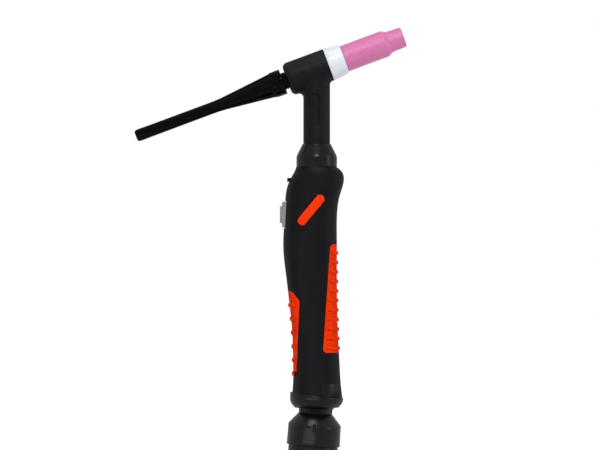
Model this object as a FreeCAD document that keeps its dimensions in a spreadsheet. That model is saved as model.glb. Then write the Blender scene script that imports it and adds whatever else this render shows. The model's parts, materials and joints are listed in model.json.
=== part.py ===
import FreeCAD, Part
import math
import os

import Sketcher
from FreeCAD import Placement, Rotation, Vector

# A TIG welding torch, standing on its own grip axis.
# Frame: millimetres, +Z up along the grip and the neck. The origin lies on that axis, at the
# middle of the grip. +X is the side that the nozzle points to, and -Y is the near side,
# which carries the badge.
# The head has an axis of its own. Head pieces are drawn about +Z, with height 0 where the two
# axes cross, and are then turned by head_angle and lifted to crossing_height.
# The swivel below the grip is drawn about +Z as well, from the ball's centre, and leans by
# collar_lean.

SIZES = {
    # Head and neck moulding
    "crossing_height": 141.1,
    "head_angle": 69.6,
    "head_radius": 10.55,
    "head_back": 20.0,
    "head_front": 7.8,
    "head_rounding": 3.2,
    "junction_rounding": 2.6,
    "neck_radius": 8.45,
    "neck_foot": 64.0,
    "neck_top_drop": 4.0,
    "cap_opening_radius": 6.0,
    "panel_drop": 25.6,
    "panel_shift": -1.1,
    "panel_length": 20.0,
    "panel_width": 5.2,
    "panel_floor": 7.9,
    # Brass body inside the head
    "core_radius": 7.5,
    "core_back": 18.0,
    "boss_radius": 7.0,
    "boss_drop": 15.1,
    "socket_depth": 5.0,
    "cap_thread_radius": 4.6,
    "cap_thread_end": 2.0,
    "seal_bore_radius": 5.6,
    "seal_bore_end": 13.05,
    "body_thread_radius": 4.75,
    "gas_port_radius": 1.0,
    "gas_port_drop": 3.1,
    # Front insulator
    "insulator_front": 18.6,
    "insulator_front_radius": 9.55,
    "insulator_rounding": 0.8,
    "insulator_step": 10.5,
    # Nozzle
    "nozzle_seat_depth": 7.0,
    "nozzle_radius": 8.5,
    "nozzle_skirt_radius": 8.1,
    "nozzle_barrel": 27.5,
    "nozzle_chamfer": 0.6,
    "nozzle_shoulder": 3.1,
    "nozzle_tip": 9.4,
    "nozzle_tip_root_radius": 6.75,
    "nozzle_mouth_radius": 6.45,
    "nozzle_bore_radius": 4.0,
    "nozzle_chamber_radius": 6.3,
    "nozzle_thread_clearance": 0.1,
    "nozzle_skirt_clearance": 0.1,
    "nozzle_seat_gap": 0.05,
    "mouth_rounding": 0.5,
    # Collet body and collet
    "body_flange_radius": 5.4,
    "body_nose_thread_radius": 5.2,
    "body_nose_thread_length": 12.4,
    "body_barrel_radius": 4.0,
    "body_barrel_length": 13.0,
    "body_nose_radius": 2.2,
    "body_nose_length": 3.0,
    "gas_hole_radius": 0.8,
    "gas_hole_height": 30.0,
    "gas_hole_count": 4,
    "collet_radius": 2.25,
    "collet_clearance": 0.1,
    "collet_nose": 2.4,
    "collet_slit_width": 0.4,
    "collet_slit_length": 12.0,
    "collet_gap": 0.2,
    "collet_tip_setback": 1.0,
    # Electrode
    "electrode_radius": 1.2,
    "electrode_clearance": 0.1,
    "electrode_setback": 2.0,
    "electrode_length": 172.0,
    "electrode_taper": 5.0,
    "electrode_point_radius": 0.25,
    # Back cap and its seal
    "cap_gap": 2.6,
    "cap_stem_radius": 5.5,
    "cap_thread_clearance": 0.1,
    "cap_front": 5.5,
    "cap_rim_radius": 8.15,
    "cap_rim_length": 6.2,
    "cap_cone_length": 36.9,
    "cap_tube_radius": 3.85,
    "cap_tube_length": 56.5,
    "cap_end_rounding": 2.0,
    "cap_bore_radius": 1.7,
    "cap_end_wall": 3.7,
    "seal_height": 16.2,
    "seal_thickness": 0.9,
    "seal_clearance": 0.06,
    "seal_groove_width": 2.0,
    # Tubes in the neck and their tails in the grip
    "tube_radius": 2.25,
    "tube_bore_radius": 1.5,
    "tube_circle": 4.2,
    "tail_radius": 2.4,
    "tail_barb_radius": 2.9,
    "tail_length": 18.0,
    "tail_barb_pitch": 4.2,
    "tail_barb_count": 3,
    "gas_tail_top": 26.0,
    "water_tail_top": 4.0,
    "power_tail_top": -16.0,
    # Collar where the neck enters the grip
    "neck_collar_top": 93.7,
    "neck_collar_lip": 0.35,
    "neck_collar_cone": 7.6,
    "neck_collar_radius": 12.8,
    "neck_collar_foot": 79.1,
    "neck_collar_skirt": 4.9,
    "spigot_radius": 10.95,
    "spigot_clearance": 0.05,
    # Grip shells
    "shell_wall": 2.2,
    "section_power": 2.35,
    "cavity_top": 70.5,
    "cavity_foot": -47.0,
    "grip_foot": -65.1,
    "grip_foot_slope": 6.8,
    "lug_height": 71.0,
    "lug_thickness": 2.4,
    "lug_reach": 18.7,
    "lug_width": 5.0,
    # Screws that join the shells
    "screw_top_column": 9.0,
    "screw_top_height": 58.0,
    "screw_middle_column": -11.0,
    "screw_middle_height": 9.0,
    "screw_foot_column": 7.5,
    "screw_foot_height": -42.2,
    "screw_boss_radius": 3.6,
    "screw_head_radius": 2.6,
    "screw_head_height": 1.8,
    "screw_head_clearance": 0.2,
    "screw_radius": 1.4,
    "screw_hex_radius": 1.3,
    "screw_hex_depth": 1.1,
    "screw_seat": 5.6,
    "screw_tip": 6.0,
    # Front pad
    "pad_depth": 1.2,
    "front_pad_top": 30.2,
    "front_pad_top_edge": 8.6,
    "front_pad_foot": -38.2,
    "front_pad_foot_edge": 3.9,
    "pad_corner_rounding": 2.5,
    "rib_proud": 0.9,
    "front_rib_first": 26.1,
    "front_rib_pitch": 6.0,
    "front_rib_count": 11,
    "front_rib_thickness": 2.1,
    "rib_margin": 1.3,
    "rib_slope": 6.0,
    # Rear pad
    "rear_pad_top": 0.6,
    "rear_pad_top_inner": -5.4,
    "rear_pad_top_edge": -10.9,
    "rear_pad_foot_edge": -12.9,
    "rear_pad_foot_inner": -50.6,
    "rear_pad_foot": -54.4,
    "rear_rib_first": -8.4,
    "rear_rib_pitch": 8.65,
    "rear_rib_count": 6,
    "rear_rib_thickness": 2.6,
    # Badge
    "badge_across": -3.6,
    "badge_height": 51.9,
    "badge_span": 17.7,
    "badge_radius": 3.2,
    "badge_angle": 50.3,
    "badge_proud": 0.35,
    "badge_depth": 0.9,
    # Switch housing
    "housing_top": 68.4,
    "housing_foot": 25.3,
    "housing_edge": -13.6,
    "housing_corner_edge": -14.6,
    "housing_top_edge": -16.6,
    "housing_corner_height": 64.6,
    "housing_knee_height": 55.7,
    "housing_cut_top": 33.0,
    "housing_cut_edge": -20.8,
    "housing_front": -17.2,
    "housing_pocket_width": 13.6,
    "housing_pocket_margin": 5.0,
    # Trigger button
    "trigger_height": 49.0,
    "trigger_length": 16.4,
    "trigger_width": 10.0,
    "trigger_face": -22.0,
    "trigger_top_face": -23.4,
    "trigger_top_length": 11.2,
    "trigger_top_width": 8.0,
    "trigger_rounding": 0.6,
    "trigger_clearance": 0.3,
    "trigger_gap": 0.05,
    "trigger_travel": 1.3,
    "flange_thickness": 1.2,
    "flange_overhang": 0.9,
    "nub_radius": 1.0,
    # Switch
    "case_front": -12.2,
    "case_depth": 5.2,
    "case_width": 6.4,
    "case_foot": 39.0,
    "case_top": 59.2,
    "hinge_column": -13.3,
    "hinge_height": 58.0,
    "hinge_radius": 0.9,
    "hinge_pin_radius": 0.5,
    "hinge_clearance": 0.05,
    "lever_thickness": 0.4,
    "lever_width": 4.0,
    "lever_length": 13.2,
    "lever_arm": 12.0,
    "lever_gap": 0.1,
    "ear_clearance": 0.2,
    "plunger_arm": 5.0,
    "plunger_radius": 1.0,
    "plunger_length": 2.6,
    "plunger_clearance": 0.1,
    "plunger_gap": 0.12,
    "spring_height": 42.2,
    "spring_radius": 1.4,
    "spring_wire_radius": 0.2,
    "switch_pin_radius": 0.9,
    "switch_pin_column": -9.2,
    "switch_pin_low": 42.5,
    "switch_pin_high": 54.5,
    "switch_pin_reach": 7.5,
    "switch_post_radius": 2.2,
    "terminal_width": 2.4,
    "terminal_thickness": 0.5,
    "terminal_length": 5.0,
    "terminal_pitch": 1.9,
    "terminal_setback": 1.14,
    # Ball joint below the grip
    "ball_drop": 65.2,
    "ball_radius": 13.8,
    "ball_clearance": 0.15,
    "ball_bore": 9.0,
    "ball_neck_radius": 10.6,
    "ball_neck_depth": 28.0,
    "ball_flange_radius": 12.2,
    "ball_flange_thickness": 1.6,
    "seat_radius": 12.6,
    "seat_bore": 9.6,
    "seat_top": 11.5,
    "seat_skirt": 6.0,
    "seat_clearance": 0.1,
    # Ring that closes the foot of the grip
    "ring_radius": 16.9,
    "ring_spigot_radius": 15.0,
    "ring_spigot_foot": 3.2,
    "ring_spigot_length": 7.4,
    "ring_clearance": 0.05,
    "ring_waist": 4.4,
    "ring_foot": 7.9,
    "ring_foot_radius": 13.9,
    "ring_lip_depth": 5.9,
    "ring_flare": 0.7,
    "tab_inner": 3.4,
    "tab_outer": 13.4,
    "tab_top": -57.6,
    "tab_radius": 16.5,
    "tab_clearance": 0.1,
    # Swivel collar and ferrule
    "collar_lean": 4.0,
    "collar_top": 11.7,
    "collar_shoulder": 18.6,
    "collar_shoulder_radius": 16.6,
    "collar_foot": 31.9,
    "collar_radius": 16.8,
    "collar_clearance": 0.1,
    "collar_pocket_radius": 14.4,
    "collar_slot_width": 1.7,
    "collar_slot_length": 4.4,
    "collar_slot_height": 20.2,
    "collar_slot_floor": 14.0,
    "latch_face": 15.9,
    "ferrule_radius": 15.6,
    "ferrule_foot": 46.0,
    "ferrule_bore": 12.2,
    "ferrule_spigot": 1.7,
    "ferrule_rounding": 0.8,
}

# The outer form of the grip, from its top to its foot. Each station gives the height, the
# centre along X, the half width along X and the half depth along Y.
GRIP_STATIONS = {
    "brim": (79.1, -0.2, 12.8, 12.8),
    "crown": (75.6, 0.6, 15.8, 14.0),
    "shoulder": (71.7, 0.35, 16.9, 14.4),
    "brow": (66.5, -1.2, 17.5, 14.6),
    "thumb": (58.4, -3.0, 16.9, 14.6),
    "palm": (47.5, -3.8, 16.6, 14.5),
    "heel": (30.4, -4.2, 17.0, 14.5),
    "waist": (1.9, -2.75, 15.6, 14.2),
    "wrist": (-26.6, -1.0, 14.5, 14.0),
    "ankle": (-53.2, 0.0, 14.9, 14.7),
    "sole": (-70.0, 0.3, 16.2, 16.0),
}
STATION_PARTS = ("height", "centre", "half_width", "half_depth")

for station, values in GRIP_STATIONS.items():
    for part, value in zip(STATION_PARTS, values):
        SIZES[station + "_" + part] = value

# Facts of drawing that are no sizes of the torch
SECTION_COUNT = 21
FAR = 60.0
ALONG_Y = (1, 0, 0)
ABOUT_Y = (0, 1, 0)

doc = FreeCAD.newDocument("tig_torch")
sheet = doc.addObject("Spreadsheet::Sheet", "sizes")
for row, (alias, value) in enumerate(SIZES.items(), start=1):
    sheet.set(f"A{row}", alias)
    sheet.set(f"B{row}", str(value))
    sheet.setAlias(f"B{row}", alias)
doc.recompute()


class Size:
    """A size that carries its number and the sheet formula that gives it."""

    def __init__(self, number, formula):
        self.number = number
        self.formula = formula

    def __add__(self, other):
        other = as_size(other)
        return Size(self.number + other.number, f"({self.formula} + {other.formula})")

    def __sub__(self, other):
        other = as_size(other)
        return Size(self.number - other.number, f"({self.formula} - {other.formula})")

    def __mul__(self, other):
        other = as_size(other)
        return Size(self.number * other.number, f"({self.formula} * {other.formula})")

    def __truediv__(self, other):
        other = as_size(other)
        return Size(self.number / other.number, f"({self.formula} / {other.formula})")

    def __neg__(self):
        return Size(-self.number, f"(0 - {self.formula})")


def as_size(value):
    """A plain number as a size that needs no cell."""
    return value if isinstance(value, Size) else Size(float(value), f"({float(value)})")


def chord(radius, offset):
    """Half the chord of a circle at a distance from its centre."""
    number = math.sqrt(radius.number ** 2 - offset.number ** 2)
    return Size(number, f"sqrt({radius.formula} ^ 2 - {offset.formula} ^ 2)")


def tangent(angle):
    return Size(math.tan(math.radians(angle.number)), f"tan({angle.formula})")


class Sheet:
    """The driving dimensions by name."""

    def __getattr__(self, name):
        return Size(float(sheet.get(name)), "sizes." + name)


S = Sheet()
# where the brass boss ends and the three tubes begin
boss_foot = S.crossing_height - S.boss_drop


# Helpers that draw

def bind(obj, prop, value):
    """Gives an object a size and ties it to the sheet."""
    value = as_size(value)
    setattr(obj, prop, value.number)
    obj.setExpression(prop, value.formula)


def place(obj, x=0, y=0, z=0, axis=None, angle=0):
    """Puts an object at a point, turned about an axis, both tied to the sheet."""
    numbers = [as_size(value).number for value in (x, y, z)]
    turn = Rotation(Vector(*axis), as_size(angle).number) if axis else Rotation()
    obj.Placement = Placement(Vector(*numbers), turn)
    for letter, value in zip("xyz", (x, y, z)):
        if isinstance(value, Size):
            obj.setExpression("Placement.Base." + letter, value.formula)
    if isinstance(angle, Size):
        obj.setExpression("Placement.Rotation.Angle", angle.formula)
    return obj


def on_head(obj):
    """Puts a piece that is drawn about +Z on the head's axis."""
    return place(obj, z=S.crossing_height, axis=ABOUT_Y, angle=S.head_angle)


def on_swivel(obj):
    """Puts a piece that is drawn about +Z below the ball's centre on the leaning axis."""
    return place(obj, z=-S.ball_drop, axis=ABOUT_Y, angle=S.collar_lean)


def tie_point(sketch, index, x, y):
    """Ties the start of a sketch line to its two distances from the axes."""
    for kind, value, axis in (("DistanceX", x, -2), ("DistanceY", y, -1)):
        if isinstance(value, Size):
            number = sketch.addConstraint(
                Sketcher.Constraint(kind, -1, 1, index, 1, value.number))
            sketch.setExpression(f"Constraints[{number}]", value.formula)
        else:
            sketch.addConstraint(Sketcher.Constraint("PointOnObject", index, 1, axis))


def draw_outline(sketch, points):
    """Draws a closed outline of straight lines. A plain 0 keeps a point on an axis."""
    places = [Vector(as_size(x).number, as_size(y).number, 0) for x, y in points]
    for index, start in enumerate(places):
        end = places[(index + 1) % len(places)]
        sketch.addGeometry(Part.LineSegment(start, end), False)
    for index in range(len(places)):
        following = (index + 1) % len(places)
        sketch.addConstraint(Sketcher.Constraint("Coincident", index, 2, following, 1))
    for index, (x, y) in enumerate(points):
        tie_point(sketch, index, x, y)


def origin_plane(body, role):
    return [item for item in body.Origin.OriginFeatures if item.Role == role][0]


def turned(name, points):
    """A body turned about +Z from an outline of (radius, height) points."""
    body = doc.addObject("PartDesign::Body", name)
    sketch = body.newObject("Sketcher::SketchObject", name + "_outline")
    sketch.AttachmentSupport = [(origin_plane(body, "XZ_Plane"), "")]
    sketch.MapMode = "FlatFace"
    draw_outline(sketch, points)
    turn = body.newObject("PartDesign::Revolution", name + "_turned")
    turn.Profile = sketch
    turn.ReferenceAxis = (sketch, ["V_Axis"])
    turn.Angle = 360
    return body


def circle_edges(shape, radius, height):
    """Names of the circles about +Z that have a radius and a height."""
    names = []
    for index, edge in enumerate(shape.Edges, start=1):
        if edge.Curve.TypeId != "Part::GeomCircle":
            continue
        circle = edge.Curve
        same_radius = abs(circle.Radius - as_size(radius).number) < 1e-4
        if same_radius and abs(circle.Center.z - as_size(height).number) < 1e-4:
            names.append(f"Edge{index}")
    return names


def rounded(body, rounding, *circles):
    """Rounds circles of a turned body, each given as (radius, height)."""
    doc.recompute()
    base = body.Tip
    names = [name for circle in circles for name in circle_edges(base.Shape, *circle)]
    fillet = body.newObject("PartDesign::Fillet", body.Name + "_rounded")
    fillet.Base = (base, names)
    bind(fillet, "Radius", rounding)
    return body


def cylinder(name, radius, length, **where):
    obj = doc.addObject("Part::Cylinder", name)
    bind(obj, "Radius", radius)
    bind(obj, "Height", length)
    return place(obj, **where)


def cross_bar(name, radius, y_from, y_to, x, z):
    """A round bar that runs along +Y from one depth to another."""
    length = as_size(y_to) - as_size(y_from)
    return cylinder(name, radius, length, x=x, y=y_from, z=z, axis=ALONG_Y, angle=-90)


def side_bar(name, radius, x_from, x_to, y, z):
    """A round bar that runs along +X from one place to another."""
    length = as_size(x_to) - as_size(x_from)
    return cylinder(name, radius, length, x=x_from, y=y, z=z, axis=ABOUT_Y, angle=90)


def block(name, x_from, x_to, y_from, y_to, z_from, z_to):
    """A box between two corners."""
    obj = doc.addObject("Part::Box", name)
    spans = (("Length", x_from, x_to), ("Width", y_from, y_to), ("Height", z_from, z_to))
    for prop, low, high in spans:
        bind(obj, prop, as_size(high) - as_size(low))
    return place(obj, x=x_from, y=y_from, z=z_from)


def slab(name, points, half_depth=FAR):
    """A plate seen from the side: an outline of (x, z) points, drawn out along Y."""
    sketch = doc.addObject("Sketcher::SketchObject", name + "_outline")
    sketch.Placement = Placement(Vector(0, 0, 0), Rotation(Vector(*ALONG_Y), 90))
    draw_outline(sketch, points)
    plate = doc.addObject("Part::Extrusion", name)
    plate.Base = sketch
    plate.DirMode = "Custom"
    plate.Dir = Vector(0, -1, 0)
    plate.Solid = True
    plate.Symmetric = True
    bind(plate, "LengthFwd", as_size(half_depth) * 2)
    return plate


def round_corners(name, plate, rounding, *corners):
    """Rounds a plate's corners, each given as its (x, z) point."""
    doc.recompute()
    edges = []
    for index, edge in enumerate(plate.Shape.Edges, start=1):
        middle = edge.CenterOfMass
        for x, z in corners:
            off = math.hypot(middle.x - as_size(x).number, middle.z - as_size(z).number)
            if off < 1e-4:
                edges.append((index, rounding.number, rounding.number))
    fillet = doc.addObject("Part::Fillet", name)
    fillet.Base = plate
    fillet.Edges = edges
    return fillet


def fuse(name, *pieces):
    obj = doc.addObject("Part::MultiFuse", name)
    obj.Shapes = list(pieces)
    return obj


def cut(name, base, *tools):
    obj = doc.addObject("Part::Cut", name)
    obj.Base = base
    obj.Tool = tools[0] if len(tools) == 1 else fuse(name + "_tools", *tools)
    return obj


def grouped(name, *pieces):
    """Pieces side by side in one node, in a frame that can be placed anew."""
    obj = doc.addObject("Part::Compound", name)
    obj.Links = list(pieces)
    return obj


def common(name, first, second):
    obj = doc.addObject("Part::Common", name)
    obj.Base = first
    obj.Tool = second
    return obj


def stadium(name, x, z, span, radius, angle, y_from, y_to):
    """A bar with round ends, seen from the near side, that runs along Y."""
    half = span / 2
    ends = []
    for side, reach in (("low", -half), ("high", half)):
        end = cylinder(f"{name}_{side}_end", radius, as_size(y_to) - as_size(y_from),
                       x=reach, z=0, y=0, axis=ALONG_Y, angle=-90)
        ends.append(end)
    middle = block(name + "_middle", -half, half, 0, as_size(y_to) - as_size(y_from),
                   -radius, radius)
    whole = fuse(name, middle, *ends)
    return place(whole, x=x, y=y_from, z=z, axis=ABOUT_Y, angle=-angle)


# The outer form of the grip

def station_slopes(heights, values):
    """Slopes at the stations that let the form swell without overshooting."""
    steps = [(values[k + 1] - values[k]) / (heights[k + 1] - heights[k])
             for k in range(len(heights) - 1)]
    slopes = [steps[0]]
    for before, after in zip(steps, steps[1:]):
        even = before * after > 0
        slopes.append(2 * before * after / (before + after) if even else 0.0)
    slopes.append(steps[-1])
    return slopes


def station_value(height, part):
    """A measure of the grip's form at any height, eased between its stations."""
    names = list(GRIP_STATIONS)[::-1]
    heights = [getattr(S, name + "_height").number for name in names]
    values = [getattr(S, f"{name}_{part}").number for name in names]
    slopes = station_slopes(heights, values)
    low = max(k for k in range(len(heights) - 1) if heights[k] <= height or k == 0)
    span = heights[low + 1] - heights[low]
    share = (height - heights[low]) / span
    rise = share * share * (3 - 2 * share)
    return (values[low] * (1 - rise) + values[low + 1] * rise
            + span * slopes[low] * share * (1 - share) ** 2
            - span * slopes[low + 1] * share ** 2 * (1 - share))


def section_wire(height, outset):
    """A closed smooth section, between an ellipse and a rounded rectangle, in four quarters."""
    centre = station_value(height, "centre")
    half_width = station_value(height, "half_width") + outset
    half_depth = station_value(height, "half_depth") + outset
    slant = math.sqrt(0.5) ** (2.0 / S.section_power.number)
    # a cubic curve whose middle lies on the slant point of the section
    pull = (8.0 * slant - 4.0) / 3.0
    quarters = []
    for turn in range(4):
        poles = []
        for along, aside in ((1, 0), (1, pull), (pull, 1), (0, 1)):
            for _ in range(turn):
                along, aside = -aside, along
            poles.append(Vector(centre + half_width * along, half_depth * aside, height))
        curve = Part.BezierCurve()
        curve.setPoles(poles)
        quarters.append(curve.toShape())
    return Part.Wire(quarters)


def grip_form(name, outset=0.0):
    """The grip's outer form, drawn larger or smaller all round by an outset."""
    form = doc.addObject("Part::Feature", name)
    low = S.sole_height.number
    step = (S.brim_height.number - low) / (SECTION_COUNT - 1)
    wires = [section_wire(low + step * index, as_size(outset).number)
             for index in range(SECTION_COUNT)]
    form.Shape = Part.makeLoft(wires, True, False)
    return form


# Head and neck

def make_head():
    """The rubber moulding of the head and neck, and the brass body inside it."""
    barrel = turned("head_barrel", [
        (0, -S.head_back), (S.head_radius, -S.head_back),
        (S.head_radius, S.head_front), (0, S.head_front)])
    rounded(barrel, S.head_rounding, (S.head_radius, -S.head_back))
    on_head(barrel)
    neck_length = S.crossing_height - S.neck_top_drop - S.neck_foot
    neck = cylinder("neck_barrel", S.neck_radius, neck_length, z=S.neck_foot)
    joined = fuse("head_and_neck", barrel, neck)
    doc.recompute()
    seams = []
    for index, edge in enumerate(joined.Shape.Edges, start=1):
        if edge.Curve.TypeId == "Part::GeomBSplineCurve":
            seams.append((index, S.junction_rounding.number, S.junction_rounding.number))
    blended = doc.addObject("Part::Fillet", "head_blended")
    blended.Base = joined
    blended.Edges = seams

    core = on_head(turned("brass_core", [
        (0, -S.core_back), (S.core_radius, -S.core_back),
        (S.core_radius, S.head_front), (0, S.head_front)]))
    boss = cylinder("brass_boss", S.boss_radius, S.boss_drop, z=boss_foot)
    brass = fuse("brass_outer", core, boss)
    bores = on_head(turned("head_bores", [
        (0, -S.core_back), (S.seal_bore_radius, -S.core_back),
        (S.seal_bore_radius, -S.seal_bore_end), (S.cap_thread_radius, -S.seal_bore_end),
        (S.cap_thread_radius, -S.cap_thread_end), (S.body_thread_radius, -S.cap_thread_end),
        (S.body_thread_radius, S.head_front), (0, S.head_front)]))
    sockets = tube_set("tube_socket", S.tube_radius, boss_foot, boss_foot + S.socket_depth)
    port = tube_bar("gas_port", 0, S.gas_port_radius, boss_foot,
                    S.crossing_height - S.gas_port_drop)
    cut("torch_body", brass, bores, port, *sockets)

    opening = on_head(turned("cap_opening", [
        (0, -S.head_back), (S.cap_opening_radius, -S.head_back),
        (S.cap_opening_radius, -S.core_back), (0, -S.core_back)]))
    channels = tube_set("tube_channel", S.tube_radius, S.neck_foot, boss_foot)
    panel = stadium("neck_panel", S.panel_shift, S.crossing_height - S.panel_drop,
                    S.panel_length - S.panel_width, S.panel_width / 2, as_size(90),
                    -S.head_radius, -S.panel_floor)
    cut("head_rubber", blended, brass, opening, panel, *channels)


TUBE_ANGLES = {"gas": 60, "water": 300, "power": 180}


def tube_place(index):
    """Where one of the neck's tubes runs, as a share of the tube circle."""
    turn = math.radians(list(TUBE_ANGLES.values())[index])
    return S.tube_circle * math.cos(turn), S.tube_circle * math.sin(turn)


def tube_bar(name, index, radius, z_from, z_to):
    x, y = tube_place(index)
    return cylinder(name, radius, z_to - z_from, x=x, y=y, z=z_from)


def tube_set(name, radius, z_from, z_to):
    return [tube_bar(f"{name}_{index}", index, radius, z_from, z_to)
            for index in range(len(TUBE_ANGLES))]


def make_tubes():
    """Three tubes in the neck, each with a barbed hose tail on its lower end."""
    names = {"gas": "gas_tube", "water": "water_supply_tube", "power": "power_return_tube"}
    for index, (kind, name) in enumerate(names.items()):
        tail_top = getattr(S, kind + "_tail_top")
        top = boss_foot + S.socket_depth
        wall = tube_bar(name + "_wall", index, S.tube_radius, tail_top, top)
        bore = tube_bar(name + "_bore", index, S.tube_bore_radius, tail_top, top)
        cut(name, wall, bore)
        make_tail(kind + "_hose_tail", index, tail_top)


def make_tail(name, index, top):
    """A hose tail: a short socket, then its barbs."""
    foot = -S.tail_length
    points = [(S.tube_bore_radius, 0), (S.tail_barb_radius, 0)]
    for barb in range(SIZES["tail_barb_count"]):
        start = -(S.tail_barb_pitch * (barb + 1))
        points.append((S.tail_barb_radius, start))
        points.append((S.tail_radius, start))
    points.append((S.tail_radius, foot))
    points.append((S.tube_bore_radius, foot))
    tail = turned(name, points)
    x, y = tube_place(index)
    place(tail, x=x, y=y, z=top)


# Front of the head

def make_insulator():
    seat = S.insulator_front - S.nozzle_seat_depth
    pocket = S.nozzle_skirt_radius + S.nozzle_skirt_clearance
    body = turned("front_insulator", [
        (S.body_flange_radius, S.head_front), (S.head_radius, S.head_front),
        (S.head_radius, S.insulator_step),
        (S.insulator_front_radius, S.insulator_front), (pocket, S.insulator_front),
        (pocket, seat), (S.body_flange_radius, seat)])
    rounded(body, S.insulator_rounding, (S.insulator_front_radius, S.insulator_front))
    on_head(body)


def make_nozzle():
    seat = S.insulator_front - S.nozzle_seat_depth + S.nozzle_seat_gap
    thread = S.body_nose_thread_radius + S.nozzle_thread_clearance
    face = S.insulator_front
    barrel_end = face + S.nozzle_barrel
    shoulder_end = barrel_end + S.nozzle_shoulder
    mouth = shoulder_end + S.nozzle_tip
    thread_end = S.insulator_front - S.nozzle_seat_depth + S.body_nose_thread_length
    chamber_end = barrel_end - S.nozzle_chamfer
    body = turned("nozzle", [
        (thread, seat), (S.nozzle_skirt_radius, seat), (S.nozzle_skirt_radius, face),
        (S.nozzle_radius, face + S.nozzle_chamfer), (S.nozzle_radius, barrel_end),
        (S.nozzle_tip_root_radius, shoulder_end), (S.nozzle_mouth_radius, mouth),
        (S.nozzle_bore_radius, mouth), (S.nozzle_bore_radius, shoulder_end),
        (S.nozzle_chamber_radius, chamber_end), (S.nozzle_chamber_radius, thread_end),
        (thread, thread_end)])
    rounded(body, S.mouth_rounding, (S.nozzle_mouth_radius, mouth),
            (S.nozzle_radius, barrel_end))
    on_head(body)


def make_collet_body():
    """The collet body: threads at both ends of its flange, then the barrel with gas holes."""
    seat = S.insulator_front - S.nozzle_seat_depth
    thread_end = seat + S.body_nose_thread_length
    barrel_end = thread_end + S.body_barrel_length
    nose = barrel_end + S.body_nose_length
    bore = S.collet_radius + S.collet_clearance
    tip_bore = S.electrode_radius + S.electrode_clearance
    solid = turned("collet_body_turned", [
        (bore, -S.cap_thread_end), (S.body_thread_radius, -S.cap_thread_end),
        (S.body_thread_radius, S.head_front), (S.body_flange_radius, S.head_front),
        (S.body_flange_radius, seat), (S.body_nose_thread_radius, seat),
        (S.body_nose_thread_radius, thread_end), (S.body_barrel_radius, thread_end),
        (S.body_barrel_radius, barrel_end), (S.body_nose_radius, nose), (tip_bore, nose),
        (tip_bore, barrel_end + S.collet_nose - S.collet_gap), (bore, barrel_end)])
    holes = []
    for index in range(SIZES["gas_hole_count"]):
        turn = 2 * math.pi * index / SIZES["gas_hole_count"]
        hole = cylinder(f"gas_hole_{index}", S.gas_hole_radius, S.body_barrel_radius,
                        z=S.gas_hole_height, axis=(math.sin(turn), math.cos(turn), 0),
                        angle=90)
        holes.append(hole)
    on_head(cut("collet_body", solid, *holes))


def make_collet():
    """The collet: a tube that is slit at its front, where the collet body's taper closes it."""
    seat = S.insulator_front - S.nozzle_seat_depth
    front = seat + S.body_nose_thread_length + S.body_barrel_length
    back = -(S.cap_front - S.collet_gap)
    bore = S.electrode_radius + S.electrode_clearance
    tip = bore + S.collet_clearance * 2
    solid = turned("collet_turned", [
        (bore, back), (S.collet_radius, back),
        (S.collet_radius, front - S.collet_gap),
        (tip, front + S.collet_nose - S.collet_tip_setback),
        (bore, front + S.collet_nose - S.collet_tip_setback)])
    half = S.collet_slit_width / 2
    low = front - S.collet_slit_length
    high = front + S.collet_nose
    first = block("collet_slit_x", -S.collet_radius, S.collet_radius, -half, half, low, high)
    second = block("collet_slit_y", -half, half, -S.collet_radius, S.collet_radius, low, high)
    on_head(cut("collet", solid, first, second))


def make_electrode():
    mouth = S.insulator_front + S.nozzle_barrel + S.nozzle_shoulder + S.nozzle_tip
    tip = mouth - S.electrode_setback
    back = tip - S.electrode_length
    on_head(turned("electrode", [
        (0, back), (S.electrode_radius, back),
        (S.electrode_radius, tip - S.electrode_taper),
        (S.electrode_point_radius, tip), (0, tip)]))


# Back of the head

def make_back_cap():
    """The long back cap: a threaded stem with a seal groove, a rim, a cone and a tube."""
    thread = S.cap_thread_radius - S.cap_thread_clearance
    groove = S.seal_bore_radius - S.cap_thread_clearance - S.seal_thickness * 2
    groove_front = -(S.seal_height - S.seal_groove_width / 2)
    groove_back = -(S.seal_height + S.seal_groove_width / 2)
    stem_front = -(S.seal_bore_end + S.cap_thread_clearance)
    face = -(S.head_back + S.cap_gap)
    rim_end = face - S.cap_rim_length
    cone_end = rim_end - S.cap_cone_length
    end = cone_end - S.cap_tube_length
    body = turned("back_cap", [
        (0, end), (S.cap_tube_radius, end), (S.cap_tube_radius, cone_end),
        (S.cap_rim_radius, rim_end), (S.cap_rim_radius, face), (S.cap_stem_radius, face),
        (S.cap_stem_radius, groove_back), (groove, groove_back), (groove, groove_front),
        (S.cap_stem_radius, groove_front), (S.cap_stem_radius, stem_front),
        (thread, stem_front), (thread, -S.cap_front), (S.cap_bore_radius, -S.cap_front),
        (S.cap_bore_radius, end + S.cap_end_wall), (0, end + S.cap_end_wall)])
    rounded(body, S.cap_end_rounding, (S.cap_tube_radius, end))
    on_head(body)


def make_cap_seal():
    """The ring seal in the cap's groove."""
    outer = S.seal_bore_radius - S.seal_clearance
    inner = S.seal_bore_radius - S.cap_thread_clearance - S.seal_thickness * 2
    inner = inner + S.seal_clearance
    ring = doc.addObject("Part::Torus", "cap_seal_ring")
    bind(ring, "Radius1", (outer + inner) / 2)
    bind(ring, "Radius2", (outer - inner) / 2)
    place(ring, z=-S.seal_height)
    on_head(fuse("cap_seal", ring, ring_core("cap_seal_core", outer, inner)))


def ring_core(name, outer, inner):
    """A narrow band inside the seal's round section."""
    half = (outer - inner) / 4
    centre = (outer + inner) / 2
    return turned(name, [
        (centre - half, -S.seal_height - half), (centre + half, -S.seal_height - half),
        (centre + half, -S.seal_height + half), (centre - half, -S.seal_height + half)])


# Grip

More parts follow.
